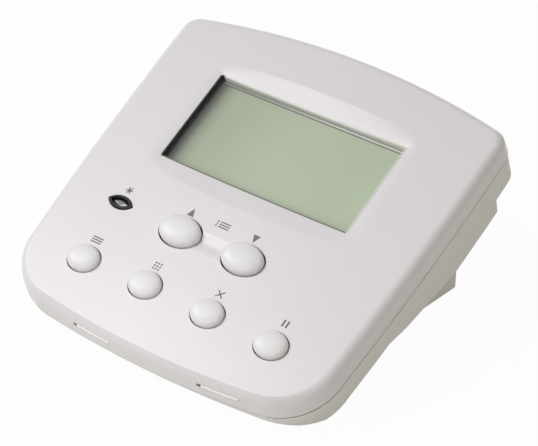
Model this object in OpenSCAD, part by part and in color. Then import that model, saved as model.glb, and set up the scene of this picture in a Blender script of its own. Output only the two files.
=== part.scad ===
// Caller id box: a two-part moulded housing on a wedge foot, with a blank display,
// six push keys, a call lamp, four round cells behind a sliding door and two line sockets.
// Face axes: u to the right, v up the face, w out of the face, from the window's middle.
// Table axes: X to the right, Y to the rear, Z up from the table. Millimetres.

/* [Housing] */
// Angle of the face above the table
face_tilt = 21.8; // [18:0.1:24]
// Height of the window's middle above the table
window_z = 41.7; // [41:0.1:45]
// Half width of the housing where it is widest
half_w = 62.7; // [60:0.1:66]
// Distance of the widest place behind the window's middle
widest_v = 30; // [20:0.5:40]
// Bow radius of the sides
side_bow_r = 1300; // [1000:10:2500]
// Distance from the window's middle to the front end
reach_front = 82.75; // [81:0.1:90]
// Distance from the window's middle to the rear end
reach_rear = 43.45; // [42:0.1:50]
// Bow radius of the front end
front_bow_r = 333; // [250:1:900]
// Bow radius of the rear end
rear_bow_r = 266; // [200:1:500]
// Corner radius at the front
front_corner_r = 20; // [14:0.5:23]
// Corner radius at the rear
rear_corner_r = 6.5; // [6:0.5:14]
// Radius of the rounded edge round the face
edge_r = 2.9; // [2.5:0.1:4]
// Depth of the parting line under the face
parting_d = 8; // [7.8:0.1:9]
// Width of the parting groove
parting_gap = 0.35; // [0.2:0.05:0.6]
// Wall under the face
face_wall = 2.4; // [2.2:0.1:2.5]
// Side wall
side_wall = 2.2; // [2:0.1:2.4]

/* [Underside] */
// Depth of the rim at the front
rim_front_d = 16.4; // [15.8:0.1:17.5]
// Depth of the rim at the rear
rim_rear_d = 18.9; // [18:0.1:20.5]
// Depth of the belly
belly_d = 24.5; // [23.5:0.1:27]
// Half width of the wedge foot at its rear wall
foot_half_w = 55.3; // [55:0.1:57]
// Narrowing of the foot per millimetre towards the front
foot_taper = 0.16; // [0.1:0.01:0.17]
// Distance of the foot's rear wall behind the window's middle
foot_rear = 18.4; // [17:0.1:20]
// Length of the foot
foot_len = 58; // [57:0.5:62]
// Height of the rubber feet under the foot
pad_h = 1; // [0.6:0.1:1.5]
// Diameter of a rubber foot
pad_d = 9; // [6:0.5:11]

/* [Display] */
// Width of the window
window_w = 72.6; // [60:0.1:74]
// Height of the window
window_h = 36.2; // [30:0.1:37]
// Corner radius of the window
window_r = 0.9; // [0.5:0.1:2]
// Place of the display and the list keys across the face
display_u = -1.1; // [-2:0.1:2]
// Place of the display's middle along the face
display_v = 0.7; // [0:0.1:1]
// Depth of the dished surround at the window's edge
dish_d = 1.2; // [0.6:0.1:1.5]
// Reach of the dish above the window
dish_top = 7.2; // [6:0.1:9]
// Reach of the dish below the window
dish_bottom = 7.1; // [5:0.1:8]
// Reach of the dish at the window's sides
dish_side = 5; // [3:0.1:8]
// Bow radius of the dish's edges
dish_bow_r = 300; // [200:1:500]
// Corner radius of the dish
dish_corner_r = 9; // [6:0.5:12]
// Thickness of the clear window
lens_t = 1; // [0.8:0.1:1.2]
// Thickness of the display glass
lcd_t = 2; // [1.6:0.1:2.2]

/* [Keys] */
// Width of the four oval keys in the front row
row_key_w = 11.4; // [10:0.1:13]
// Height of the row keys along the face
row_key_h = 9.7; // [9:0.1:11]
// Rise of the row keys over the face
row_key_rise = 1.9; // [1.5:0.1:2.6]
// Width of the two oval list keys
list_key_w = 15.2; // [13:0.1:16]
// Height of the list keys along the face
list_key_h = 11.2; // [10:0.1:12]
// Rise of the list keys over the face
list_key_rise = 2.4; // [1.8:0.1:3]
// Spacing of the front row
row_pitch = 24.1; // [23:0.05:25]
// Distance of the front row from the window's middle
row_v = 60.9; // [60:0.1:62]
// Setback of the two outer keys in the row
row_bow = 0.6; // [0:0.1:1.5]
// Spacing of the list keys
list_pitch = 24.2; // [22:0.1:26]
// Distance of the list keys from the window's middle
list_v = 39.7; // [39:0.1:41]
// Depth of the scoop between the list keys
scoop_d = 0.7; // [0.3:0.1:1]
// Width of the scoop
scoop_w = 9; // [6:0.5:10]
// Gap round a key
key_gap = 0.35; // [0.2:0.05:0.6]
// Travel of a key
key_travel = 1; // [0.6:0.1:1.2]

/* [Lamp] */
// Length of the lamp's eye-shaped lens
lamp_w = 9.6; // [7:0.1:11]
// Height of the lamp's lens
lamp_h = 5; // [4:0.1:6]
// Lamp place across the face
lamp_u = -38; // [-40:0.1:-36]
// Lamp place along the face
lamp_v = -38.7; // [-41:0.1:-37.5]

/* [Inside] */
// Depth of the board's upper side under the face
board_d = 7.6; // [7.6:0.1:7.9]
// Thickness of the board
board_t = 1.6; // [1.2:0.1:1.6]
// Diameter of a cell
cell_d = 10.5; // [10:0.1:10.8]
// Length of a cell with its cap
cell_len = 44.5; // [43:0.1:44.5]
// Spacing of the cells
cell_pitch = 11.2; // [11:0.1:12]
// Screw shank diameter of the housing
screw_d = 3; // [2.5:0.1:3.5]
// Screw shank diameter of the board
board_screw_d = 2.2; // [2:0.1:2.6]
// Gap round a screw shank
screw_gap = 0.1; // [0.05:0.05:0.2]
// Distance of the housing screws from the widest place of the side
screw_inset = 13.7; // [12:0.1:16]
// Distance of the board screws from the widest place of the side
board_screw_inset = 10; // [9.5:0.1:12]
// Distance of the board's front edge from the housing's front end
board_front_gap = 7.5; // [7:0.1:9]
// Distance of the board's rear edge behind the window's middle
board_rear = 26; // [25:0.1:27]
// Distance of a socket's middle from the foot's side
jack_inset = 12.3; // [11:0.1:15]
// Width of a socket's opening
jack_w = 9.8; // [9.6:0.1:10.2]
// Height of a socket's opening
jack_h = 7; // [6.6:0.1:7.4]

/* [Hidden] */
$fn = 64;
ct = cos(face_tilt);
st = sin(face_tilt);
eps = 0.02;
oval_n = 36;
draft = 0.3;
inner_r = 0.8;
// Outline: bowed ends and sides, and the corner circles that touch them
rear_o = [0, reach_rear - rear_bow_r];
front_o = [0, front_bow_r - reach_front];
side_o = [half_w - side_bow_r, widest_v];
rear_c = meet(side_o, side_bow_r - rear_corner_r, rear_o, rear_bow_r - rear_corner_r, 1);
front_c = meet(side_o, side_bow_r - front_corner_r, front_o, front_bow_r - front_corner_r, -1);
// Edge of the dish round the window, made the same way
dish_o = [[0, dish_bow_r - window_h / 2 - dish_bottom], [window_w / 2 + dish_side - dish_bow_r, 0],
    [0, window_h / 2 + dish_top - dish_bow_r]];
dish_turn = dish_bow_r - dish_corner_r;
dish_c = [for (k = [0, 2]) meet(dish_o[1], dish_turn, dish_o[k], dish_turn, k - 1)];
// Place of the window's middle: the whole sits centred over the table origin
front_y = -(reach_front - draft - edge_r) * ct + edge_r * st - edge_r;
rear_y = (reach_rear - 0.5) * ct + (rim_rear_d - 0.3) * st;
window_y = -(front_y + rear_y) / 2;
// Table-side values of the foot and the cell bay
foot_y1 = window_y + foot_rear;
foot_y0 = foot_y1 - foot_len;
foot_wall = 2.2;
pad_inset = pad_d / 2 + 3.5;
floor_top = pad_h + 2.4;
rail_top = pad_h + 3.7;
bay_half = 2 * cell_pitch + 0.6;
bay_y1 = foot_y1 - foot_wall - 0.5;
bay_y0 = bay_y1 - cell_len - 4.1;
cell_z = floor_top + 0.2 + cell_d / 2;
roof_z = cell_z + cell_d / 2 + 0.3;
door_y0 = bay_y0 - 1.2;
board_low = board_d + board_t;
ramp_d = parting_d + parting_gap + 0.5;
belly_v0 = -3;
belly_v1 = 22.5;
lcd_d = face_wall + lens_t + 0.5;
zebra_d = lcd_d + lcd_t;
flange_d = face_wall + 0.15;
stem_d = board_d - 2.3 - key_travel;
row_u = [for (k = [-1.5:1.5]) k * row_pitch];
row_y = [-row_v - row_bow, -row_v, -row_v, -row_v - row_bow];
list_u = [for (s = [-1, 1]) display_u + s * list_pitch / 2];
board_screw_at = [for (v = [4, -52]) for (s = [-1, 1]) [s * (half_w - board_screw_inset), v]];
screw_at = [for (s = [-1, 1]) [s * (half_w - screw_inset), 31]];
row_size = [row_key_w, row_key_h, row_key_rise];
list_size = [list_key_w, list_key_h, list_key_rise];
scoop_r = (scoop_w * scoop_w / 4 + scoop_d * scoop_d) / (2 * scoop_d);
jack_x = foot_half_w - jack_inset;
// Latches in the front wall: middles, width, depth under the face, half height of a slot
latch_u = [-19.8, 28.4];
latch_w = 14.4;
latch_d = 3.9;
slot_h = 0.6;
// Sockets: length, body across and tall, flange across, tall and thick, sill under the opening
jack_len = 17;
jack_body = [13, 11.5];
jack_flange = [15.2, 12.6, 1.4];
jack_sill = 3;
jack_back = 2.5;
catch_w = 6.4;
contact_len = 10;
contact_pitch = 1.02;
// Mat under the keys: margins round the outer keys, thickness, dome radii
mat_side = 8.5;
mat_front = 8;
mat_rear = 9;
mat_t = 0.8;
dome_r = [5.2, 3.4];
// Parts under the board: places [u, v] and sizes [across, along, tall]
chip_at = [0, 5];
chip_size = [20, 14, 1.9];
pin_pitch = 1.1;
transformer_at = [-36, 11.5];
transformer_size = [16, 14, 11];
winding_size = [12, 11, 12];
capacitor_at = [[20, 4], [29, 4], [24.5, 13]];
capacitor_d = 6.4;
capacitor_h = 10;
led_d = 4.6;
led_h = 1.8;

// Direction from one point to another, and the meeting point of two circles on the side s of their line
function bearing(p, q) = atan2(q[1] - p[1], q[0] - p[0]);
function meet(p, r, q, t, s) = let (d = norm(q - p), e = (q - p) / d, x = (d * d + r * r - t * t) / (2 * d))
    p + x * e + s * sqrt(r * r - x * x) * [-e[1], e[0]];

// Closed lines of bowed front, side and rear circles with corner circles: points of one half from the
// front middle to the rear middle, and the whole; the housing's outline is set in by i
function arc(o, r, a0, a1, n) = [for (k = [0:n]) let (a = a0 + (a1 - a0) * k / n) o + r * [cos(a), sin(a)]];
function cut_last(p) = [for (k = [0:len(p) - 2]) p[k]];
function half_line(o, r, c, cr, n) = concat(
    cut_last(arc(o[0], r[0], -90, bearing(o[0], c[0]), n[0])),
    cut_last(arc(c[0], cr[0], bearing(o[0], c[0]), bearing(o[1], c[0]), n[1])),
    cut_last(arc(o[1], r[1], bearing(o[1], c[0]), bearing(o[1], c[1]), n[2])),
    cut_last(arc(c[1], cr[1], bearing(o[1], c[1]), bearing(o[2], c[1]), n[3])),
    arc(o[2], r[2], bearing(o[2], c[1]), 90, n[4]));
function whole_line(h) = concat(h, [for (k = [len(h) - 2:-1:1]) [-h[k][0], h[k][1]]]);
function outline(i) = whole_line(half_line([front_o, side_o, rear_o],
    [front_bow_r - i, side_bow_r - i, rear_bow_r - i], [front_c, rear_c],
    [front_corner_r - i, rear_corner_r - i], [5, 10, 6, 6, 6]));
dish_line = whole_line(half_line(dish_o, [dish_bow_r, dish_bow_r, dish_bow_r], dish_c,
    [dish_corner_r, dish_corner_r], [6, 5, 4, 5, 6]));

// Point of the window's edge that faces a point of the dish's edge
function window_foot(p) = let (
    a = window_w / 2 - window_r, b = window_h / 2 - window_r,
    c = [max(-a, min(a, p[0])), max(-b, min(b, p[1]))]) c + window_r * (p - c) / norm(p - c);
window_line = [for (p = dish_line) window_foot(p)];

// Solid through rings [inset, w], lowest first
module loft(rings) {
    n = len(outline(0));
    points = [for (r = rings) for (p = outline(r[0])) [p[0], p[1], r[1]]];
    sides = [for (j = [0:len(rings) - 2]) for (k = [0:n - 1])
        [j * n + k, (j + 1) * n + k, (j + 1) * n + (k + 1) % n, j * n + (k + 1) % n]];
    low = [for (k = [0:n - 1]) k];
    top = [for (k = [n - 1:-1:0]) (len(rings) - 1) * n + k];
    polyhedron(points = points, faces = concat([low], sides, [top]));
}

// Window opening and the dish that runs out from its edge
module window_cut() {
    n = len(dish_line);
    levels = [-face_wall - 1, -dish_d, 0, 5];
    points = concat([for (j = [0:3]) for (p = j < 2 ? window_line : dish_line) [p[0], p[1], levels[j]]],
        [[0, 0, levels[0]], [0, 0, levels[3]]]);
    low = [for (k = [0:n - 1]) [k, (k + 1) % n, 4 * n]];
    sides = [for (j = [0:2]) for (k = [0:n - 1]) let (a = j * n + k, b = j * n + (k + 1) % n)
        each [[a, a + n, b], [b, a + n, b + n]]];
    top = [for (k = [0:n - 1]) [3 * n + (k + 1) % n, 3 * n + k, 4 * n + 1]];
    polyhedron(points = points, faces = concat(low, sides, top));
}

// Place of the display on the face
module at_display() {
    translate([display_u, display_v, 0]) children();
}

// From face axes to table axes
module pose() {
    translate([0, window_y, window_z]) rotate([face_tilt, 0, 0]) children();
}

// Slab in face axes between two depths
module slab(w0, w1) {
    translate([0, 0, w0]) linear_extrude(height = w1 - w0) children();
}

// Ring of the outline between two insets
module band(i0, i1) {
    difference() {
        polygon(outline(i0));
        polygon(outline(i1));
    }
}

// Side profile [v, w] drawn across the whole width
module across(half, profile) {
    rotate([90, 0, 90]) translate([0, 0, -half]) linear_extrude(height = 2 * half) polygon(profile);
}

// Plain bar between corners
module bar(a, b) {
    translate(a) cube(b - a);
}

module rod(u, v, w0, w1, r) {
    translate([u, v, w0]) cylinder(h = w1 - w0, r = r);
}

module eye(grow) {
    h = lamp_h / 2;
    r = (lamp_w * lamp_w / 4 + h * h) / (2 * h);
    intersection() {
        translate([0, h - r]) circle(r = r + grow);
        translate([0, r - h]) circle(r = r + grow);
    }
}

module housing_upper_solid() {
    r = edge_r;
    loft(concat([[0, -parting_d], [draft, -r]],
        [for (a = [15:15:90]) [draft + r - r * cos(a), r * sin(a) - r]]));
}

module front_housing() {
    color([0.88, 0.87, 0.86]) pose() {
        difference() {
            union() {
                difference() {
                    housing_upper_solid();
                    loft([[side_wall, -parting_d - 1], [side_wall + draft, -face_wall - inner_r],
                        [side_wall + draft + inner_r, -face_wall]]);
                    slab(-parting_d - 1, -parting_d + 1.5) polygon(outline(1.1));
                }
                for (p = screw_at) rod(p[0], p[1], -parting_d, -face_wall + eps, 3.6);
                for (p = board_screw_at) rod(p[0], p[1], -board_d, -face_wall + eps, 3);
            }
            at_display() window_cut();
            // Key holes, and the scoop that joins the two list keys
            slab(-face_wall - 1, 4) {
                for (k = [0:3]) translate([row_u[k], row_y[k]]) oval(row_size, key_gap);
                for (u = list_u) translate([u, -list_v]) oval(list_size, key_gap);
            }
            translate([list_u[0], -list_v, scoop_r - scoop_d]) rotate([0, 90, 0])
                cylinder(h = list_pitch, r = scoop_r);
            translate([lamp_u, lamp_v, -6]) linear_extrude(height = 12) eye(0.15);
            for (p = screw_at) rod(p[0], p[1], -parting_d - 1, -face_wall - 1, screw_d / 2 + screw_gap / 2);
            for (p = board_screw_at)
                rod(p[0], p[1], -board_d - 1, -face_wall - 0.8, board_screw_d / 2 + screw_gap / 2);
            // Latch slots through the front wall
            for (u = latch_u) slab(-latch_d - slot_h, -latch_d + slot_h) intersection() {
                band(-2, side_wall + 1);
                translate([u - latch_w / 2 - 0.2, -reach_front - 5]) square([latch_w + 0.4, 20]);
            }
        }
    }
}

// Oval of a key, grown all round
module oval(size, grow) {
    polygon([for (a = [0:360 / oval_n:359]) [(size[0] / 2 + grow) * cos(a), (size[1] / 2 + grow) * sin(a)]]);
}

// Oval post from w0 up to the face that ends in a dome
module oval_dome(size, w0) {
    levels = concat([[1, w0]], [for (t = [0:15:75]) [cos(t), size[2] * sin(t)]]);
    n = oval_n;
    top = len(levels) * n;
    points = concat([for (l = levels) for (k = [0:n - 1])
        [l[0] * size[0] / 2 * cos(360 * k / n), l[0] * size[1] / 2 * sin(360 * k / n), l[1]]],
        [[0, 0, size[2]]]);
    low = [for (k = [0:n - 1]) k];
    sides = [for (j = [0:len(levels) - 2]) for (k = [0:n - 1])
        [j * n + k, (j + 1) * n + k, (j + 1) * n + (k + 1) % n, j * n + (k + 1) % n]];
    cap = [for (k = [0:n - 1]) [top - n + k, top, top - n + (k + 1) % n]];
    polyhedron(points = points, faces = concat([low], sides, cap));
}

// Side profile of the underside, set in by t
function under(t) = [[reach_rear + 5, 0], [reach_rear + 5, -rim_rear_d + 0.5 + t],
    [belly_v1 + 0.6 - t, -rim_rear_d + t], [belly_v1 - t, -belly_d + t], [belly_v0 + 0.1 * t, -belly_d + t],
    [belly_v0 - 26.7, -belly_d + 5.4 + t], [belly_v0 - 35, -rim_front_d + t],
    [-reach_front + 13.8, -rim_front_d + t], [-reach_front + 7.6, -rim_front_d + 2.5 + 1.1 * t],
    [-reach_front, -ramp_d + 1.2 * t], [-reach_front - 5, -ramp_d + 1.2 * t], [-reach_front - 5, 0]];

module foot_plan(t) {
    y0 = foot_y0 + t;
    y1 = foot_y1 - t;
    x0 = foot_half_w - foot_taper * (foot_y1 - y0) - t;
    x1 = foot_half_w - foot_taper * t - t;
    polygon([[-x0, y0], [x0, y0], [x1, y1], [-x1, y1]]);
}

// Everything at least d under the face
module below_face(d) {
    pose() bar([-100, -150, -d - 100], [100, 150, -d]);
}

module foot(t, z0) {
    intersection() {
        translate([0, 0, z0]) linear_extrude(height = 60) foot_plan(t);
        below_face(parting_d + 2);
    }
}

module rear_housing() {
    color([0.83, 0.82, 0.8]) difference() {
        union() {
            difference() {
                union() {
                    pose() intersection() {
                        loft([[1, -60], [0.25, -parting_d - parting_gap]]);
                        across(90, under(0));
                    }
                    foot(0, pad_h);
                }
                pose() intersection() {
                    loft([[side_wall + 1, -60], [side_wall + 0.25, -parting_d + 1]]);
                    across(90, under(side_wall));
                }
                foot(foot_wall, floor_top);
            }
            // Cell bay and the rails of its door
            bar([-bay_half - 1.6, bay_y0 - 1.6, floor_top - 1], [bay_half + 1.6, foot_y1 - 1, roof_z + 1]);
            bar([-bay_half - 4, bay_y0 - 5, pad_h], [bay_half + 4, foot_y1, rail_top]);
            pose() {
                // Lip inside the upper housing, latches and screw posts
                slab(-parting_d - parting_gap - 0.4, -parting_d + 1.2) band(1.25, 2.6);
                for (u = latch_u) latch(u);
                for (p = screw_at) rod(p[0], p[1], -rim_rear_d + 1, -parting_d, 4);
            }
        }
        bar([-bay_half, bay_y0, pad_h - 1], [bay_half, bay_y1, roof_z]);
        bar([-bay_half, bay_y0 - 0.2, pad_h - 1], [bay_half, foot_y1 + 1, pad_h + 2.5]);
        bar([-bay_half - 1.8, door_y0 - 0.2, pad_h + 1.1], [bay_half + 1.8, foot_y1 + 1, pad_h + 2.5]);
        // Slots in the bay's roof for the tabs of the two end contacts
        for (s = [-1.5, 1.5])
            bar([s * cell_pitch - 2, bay_y1 - 1.2, roof_z - 1], [s * cell_pitch + 2, bay_y1, roof_z + 2]);
        for (s = [-1, 1]) translate([s * jack_x, 0, 0])
            bar([-jack_body[0] / 2 - 0.2, foot_y1 - foot_wall - 1, floor_top],
                [jack_body[0] / 2 + 0.2, foot_y1 + 1, floor_top + jack_body[1] + 0.2]);
        pad_places() translate([0, 0, pad_h - 1]) cylinder(h = 1.6, r = pad_d / 2 + 0.1);
        pose() for (p = screw_at) {
            rod(p[0], p[1], -60, -parting_d + 1, screw_d / 2 + 0.2);
            rod(p[0], p[1], -60, -rim_rear_d + 6, 3);
        }
    }
}

// Arm behind the front wall and the hook that fills its slot but for a notch at the left end
module latch(u) {
    slab(-parting_d - 1.2, -latch_d + 0.6) intersection() {
        band(side_wall + 0.37, side_wall + 1.6);
        translate([u - latch_w / 2, -reach_front - 5]) square([latch_w, 20]);
    }
    slab(-latch_d - 0.45, -latch_d + 0.45) intersection() {
        band(0.6, side_wall + 1);
        translate([u - latch_w / 2 + 1.4, -reach_front - 5]) square([latch_w - 1.4, 20]);
    }
}

module display_window() {
    color([0.8, 0.85, 0.85, 0.3]) pose() at_display()
        bar([-window_w / 2 - 3, -window_h / 2 - 3, -face_wall - lens_t],
            [window_w / 2 + 3, window_h / 2 + 3, -face_wall]);
}

module lcd_frame() {
    w = window_w / 2;
    h = window_h / 2;
    color([0.2, 0.2, 0.21]) pose() at_display() difference() {
        bar([-w - 5, -h - 5, -board_d], [w + 5, h + 5, -face_wall - lens_t]);
        bar([-w - 1, -h - 1, -board_d - 1], [w + 1, h + 1, 0]);
        bar([-w - 2.2, -h - 2.2, -board_d - 1], [w + 2.2, h + 2.2, -lcd_d]);
    }
}

module lcd_glass() {
    color([0.66, 0.71, 0.61]) pose() at_display()
        bar([-window_w / 2 - 2, -window_h / 2 - 2, -zebra_d], [window_w / 2 + 2, window_h / 2 + 2, -lcd_d]);
}

module zebra_strips() {
    color([0.85, 0.6, 0.55]) pose() at_display() for (s = [-1, 1]) translate([0, s * (window_h / 2 - 0.2), 0])
        bar([-window_w / 2 + 1, -1.1, -board_d], [window_w / 2 - 1, 1.1, -zebra_d]);
}

module main_board() {
    color([0.16, 0.36, 0.2]) pose() difference() {
        slab(-board_low, -board_d) intersection() {
            polygon(outline(side_wall + 2));
            translate([-half_w, -reach_front + board_front_gap])
                square([2 * half_w, reach_front - board_front_gap + board_rear]);
        }
        for (p = board_screw_at) rod(p[0], p[1], -board_low - 1, -board_d + 1, board_screw_d / 2 + 0.3);
    }
}

// Block hanging under the board, at its place and lifted off it by a gap
module hung(at, size, gap) {
    bar([at[0] - size[0] / 2, at[1] - size[1] / 2, -board_low - gap - size[2]],
        [at[0] + size[0] / 2, at[1] + size[1] / 2, -board_low - gap]);
}

module control_chip() {
    color([0.1, 0.1, 0.11]) pose() {
        hung(chip_at, chip_size, 0.3);
        for (k = [-8:8]) for (s = [-1, 1])
            hung(chip_at + [k * pin_pitch, s * (chip_size[1] / 2 + 0.75)], [0.4, 2.5, 1.2], 0);
    }
}

module line_transformer() {
    color([0.3, 0.28, 0.26]) pose() {
        hung(transformer_at, transformer_size, 0);
        hung(transformer_at, winding_size, 0);
    }
}

module board_capacitors() {
    color([0.2, 0.23, 0.4]) pose() for (p = capacitor_at)
        rod(p[0], p[1], -board_low - capacitor_h, -board_low, capacitor_d / 2);
}

module keypad_mat() {
    color([0.5, 0.5, 0.5]) pose() difference() {
        union() {
            bar([-row_pitch * 1.5 - mat_side, -row_v - row_bow - mat_front, -board_d],
                [row_pitch * 1.5 + mat_side, -list_v + mat_rear, -board_d + mat_t]);
            each_key() translate([0, 0, -board_d + mat_t / 2])
                cylinder(h = board_d - mat_t / 2 - stem_d, r1 = dome_r[0], r2 = dome_r[1]);
        }
        each_key() translate([0, 0, -board_d - 0.2])
            cylinder(h = board_d - stem_d - 0.8, r1 = dome_r[0] - 0.6, r2 = dome_r[1] - 1);
        rod(lamp_u, lamp_v, -board_d - 1, 0, 3.4);
    }
}

module each_key() {
    for (k = [0:3]) translate([row_u[k], row_y[k], 0]) children();
    for (k = [0:1]) translate([list_u[k], -list_v, 0]) children();
}

module indicator_lens() {
    color([0.3, 0.3, 0.3]) pose() translate([lamp_u, lamp_v, 0]) {
        intersection() {
            translate([0, 0, -face_wall - 0.5]) linear_extrude(height = 8) eye(0);
            translate([0, 0, -8]) sphere(r = 9);
        }
        translate([0, 0, -face_wall - 0.8]) linear_extrude(height = 0.8) eye(1.4);
    }
}

module indicator_led() {
    color([0.8, 0.15, 0.12]) pose() translate([lamp_u, lamp_v, 0]) {
        translate([0, 0, -board_d]) cylinder(h = led_h / 2, r = led_d / 2 + 0.5);
        translate([0, 0, -board_d]) cylinder(h = led_h, r = led_d / 2);
        translate([0, 0, -board_d + led_h]) intersection() {
            sphere(r = led_d / 2);
            cylinder(h = led_d, r = led_d);
        }
    }
}

// Cells stand in turn one way and the other
module battery_cells() {
    color([0.15, 0.15, 0.17]) for (k = [0:3]) {
        s = k % 2 == 0 ? 1 : -1;
        y = (bay_y0 + bay_y1) / 2 + s * 1.5;
        translate([(k - 1.5) * cell_pitch, y, cell_z]) rotate([-90 * s, 0, 0]) {
            translate([0, 0, -cell_len / 2]) cylinder(h = cell_len - 1, r = cell_d / 2);
            translate([0, 0, cell_len / 2 - 1.5]) cylinder(h = 1.5, r = 2.7);
        }
    }
}

module battery_springs() {
    color([0.75, 0.76, 0.78]) for (k = [0:3]) {
        s = k % 2 == 0 ? 1 : -1;
        y = s > 0 ? bay_y0 + 0.5 : bay_y1 - 0.5;
        translate([(k - 1.5) * cell_pitch, y, cell_z]) rotate([-90 * s, 0, 0])
            for (j = [0:3]) translate([0, 0, 0.45 + 0.7 * j]) rotate_extrude()
                translate([4.4 - 0.4 * j, 0]) circle(r = 0.45);
    }
}

module battery_contacts() {
    p = cell_pitch;
    z0 = cell_z - 5;
    z1 = cell_z + 5;
    color([0.72, 0.73, 0.74]) {
        for (s = [-1, 1]) {
            bar([s * p - p / 2 - 5, bay_y0, z0], [s * p + p / 2 + 5, bay_y0 + 0.5, z1]);
            bar([s * 1.5 * p - 5, bay_y1 - 0.5, z0], [s * 1.5 * p + 5, bay_y1, z1]);
            bar([s * 1.5 * p - 1.6, bay_y1 - 0.5, z0], [s * 1.5 * p + 1.6, bay_y1, roof_z + 3]);
        }
        bar([-p / 2 - 5, bay_y1 - 0.5, z0], [p / 2 + 5, bay_y1, z1]);
    }
}

// Upright wire from a table height to the board's underside
module wire(x, y, z, r) {
    intersection() {
        translate([x, y, z]) cylinder(h = 60, r = r);
        below_face(board_low);
    }
}

module battery_leads() {
    color([0.7, 0.12, 0.1]) for (s = [-1.5, 1.5]) wire(s * cell_pitch, bay_y1 - 0.25, roof_z + 3, 0.7);
}

module jack(s) {
    z = floor_top;
    y1 = foot_y1;
    y0 = y1 - jack_len;
    b = jack_body[0] / 2;
    f = jack_flange[0] / 2;
    translate([s * jack_x, 0, 0]) difference() {
        union() {
            bar([-b, y0, z], [b, y1 - 0.1, z + jack_body[1]]);
            bar([-f, y1 - foot_wall - jack_flange[2], z], [f, y1 - foot_wall, z + jack_flange[1]]);
        }
        bar([-jack_w / 2, y0 + jack_back, z + jack_sill], [jack_w / 2, y1 + 1, z + jack_sill + jack_h]);
        bar([-catch_w / 2, y0 + 6, z + jack_sill - 1.6], [catch_w / 2, y1 + 1, z + jack_sill + 1]);
    }
}

module line_jack() {
    color([0.13, 0.13, 0.14]) jack(-1);
}

module phone_jack() {
    color([0.13, 0.13, 0.14]) jack(1);
}

module jack_contacts() {
    z = floor_top + jack_sill + jack_h - 0.35;
    color([0.82, 0.66, 0.25]) for (s = [-1, 1]) for (k = [-1.5:1.5])
        translate([s * jack_x + k * contact_pitch, foot_y1 - jack_len + jack_back, z]) rotate([-90, 0, 0])
            cylinder(h = contact_len, r = 0.3);
}

module jack_leads() {
    color([0.75, 0.65, 0.2]) for (s = [-1, 1]) for (k = [-1, 1])
        wire(s * jack_x + k * 2.5, foot_y1 - jack_len + 4, floor_top + jack_body[1], 0.6);
}

module housing_screws() {
    color([0.6, 0.61, 0.63]) pose() for (p = screw_at) difference() {
        union() {
            rod(p[0], p[1], -rim_rear_d + 3.9, -rim_rear_d + 6, 2.7);
            rod(p[0], p[1], -rim_rear_d + 5, -face_wall - 1.6, screw_d / 2);
        }
        for (a = [0, 90]) translate([p[0], p[1], -rim_rear_d + 4.2]) rotate([0, 0, a])
            cube([3, 0.7, 1.6], center = true);
    }
}

module board_screws() {
    color([0.6, 0.61, 0.63]) pose() for (p = board_screw_at) difference() {
        union() {
            rod(p[0], p[1], -board_low - 1.6, -board_low, 2.2);
            rod(p[0], p[1], -board_low - 1, -face_wall - 1.4, board_screw_d / 2);
        }
        for (a = [0, 90]) translate([p[0], p[1], -board_low - 1.5]) rotate([0, 0, a])
            cube([2.4, 0.6, 1.2], center = true);
    }
}

module pad_places() {
    for (s = [-1, 1]) {
        for (y = [pad_inset, foot_len - pad_inset])
            translate([s * (foot_half_w - foot_taper * y - pad_inset), foot_y1 - y, 0]) children();
    }
}

module rubber_feet() {
    color([0.2, 0.2, 0.2]) pad_places() cylinder(h = pad_h + 0.6, r = pad_d / 2);
}

module battery_door() {
    y1 = foot_y1;
    color([0.83, 0.82, 0.8]) difference() {
        union() {
            bar([-bay_half + 0.3, bay_y0, pad_h + 0.2], [bay_half - 0.3, y1, pad_h + 2.3]);
            bar([-bay_half - 1.5, door_y0, pad_h + 1.25], [bay_half + 1.5, y1, pad_h + 2.3]);
        }
        for (k = [0:4]) translate([0, y1 - 8 - 2.2 * k, pad_h + 0.2]) rotate([0, 90, 0])
            cylinder(h = 24, r = 0.5, center = true);
    }
}

// Oval key: domed post, flange under the face and the stem that presses the mat
module key_cap(u, v, size) {
    color([0.87, 0.86, 0.85]) pose() translate([u, v, 0]) {
        oval_dome(size, -flange_d - 0.5);
        slab(-flange_d - 1, -flange_d) oval(size, 1.6);
        translate([0, 0, -stem_d]) cylinder(h = 1.2, r = 2.6);
    }
}

module options_key() {
    key_cap(row_u[0], row_y[0], row_size);
}

module dial_key() {
    key_cap(row_u[1], row_y[1], row_size);
}

module remove_key() {
    key_cap(row_u[2], row_y[2], row_size);
}

module waiting_key() {
    key_cap(row_u[3], row_y[3], row_size);
}

module list_up_key() {
    key_cap(list_u[0], -list_v, list_size);
}

module list_down_key() {
    key_cap(list_u[1], -list_v, list_size);
}

front_housing();
rear_housing();
display_window();
lcd_frame();
lcd_glass();
zebra_strips();
main_board();
control_chip();
line_transformer();
board_capacitors();
keypad_mat();
indicator_lens();
indicator_led();
battery_cells();
battery_springs();
battery_contacts();
battery_leads();
line_jack();
phone_jack();
jack_contacts();
jack_leads();
housing_screws();
board_screws();
rubber_feet();
battery_door();
options_key();
dial_key();
remove_key();
waiting_key();
list_up_key();
list_down_key();
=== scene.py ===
import math
from contextlib import contextmanager

import bmesh
import bpy
from mathutils import Matrix, Vector


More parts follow.
